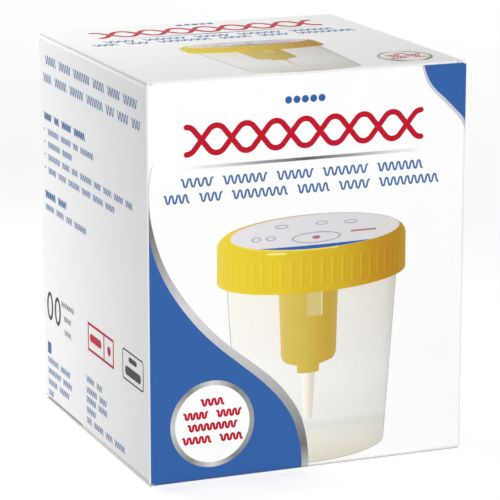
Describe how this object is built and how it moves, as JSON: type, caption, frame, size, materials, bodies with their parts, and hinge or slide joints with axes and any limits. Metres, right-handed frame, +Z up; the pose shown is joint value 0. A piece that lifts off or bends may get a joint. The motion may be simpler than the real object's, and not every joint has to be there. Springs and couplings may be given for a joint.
{
  "type": "folding carton",
  "caption": "White printed folding carton with a tuck lid, holding a screw-capped specimen cup whose cap has a tube well, a cannula under a sleeve and a draw straw.",
  "frame": {"origin": "centre of the carton's base, on the surface that it stands on", "axes": "+Z up; the printed front faces -Y; the lid is hinged at the back, at +Y"},
  "size_m": [0.069, 0.069, 0.0822],
  "materials": {
    "board": "solid bleached board, coated white with blue, crimson and silver print",
    "clear_plastic": "frosted translucent polypropylene",
    "yellow_plastic": "moulded, slightly glossy",
    "label_paper": "coated label",
    "steel": "drawn tube",
    "sleeve_rubber": "smooth pale rubber",
    "white_plastic": "moulded, satin"
  },
  "bodies": {
    "carton": {"carton_body": "board", "cup": "clear_plastic"},
    "lid": {"tuck_lid": "board"},
    "screw_carrier": {"cannula": "steel"},
    "cap": {"screw_cap": "yellow_plastic", "port_label": "label_paper", "cannula_sleeve": "sleeve_rubber", "straw": "white_plastic"}
  },
  "joints": [
    {"name": "lid_hinge", "type": "hinge", "parent": "carton", "child": "lid", "pos_m": [0, 0.03451, 0.08225], "axis": [-1, 0, 0], "range_deg": [0, 180]},
    {"name": "cap_rise", "type": "slide", "parent": "carton", "child": "screw_carrier", "axis": [0, 0, 1], "range_m": [0, 0.0038]},
    {"name": "cap_turn", "type": "hinge", "parent": "screw_carrier", "child": "cap", "pos_m": [0, 0, 0.0725], "axis": [0, 0, 1], "range_deg": [0, 340]}
  ],
  "couplings": [
    {"joint": "cap_rise", "follows": "cap_turn", "m_per_rad": 0.00063662}
  ]
}
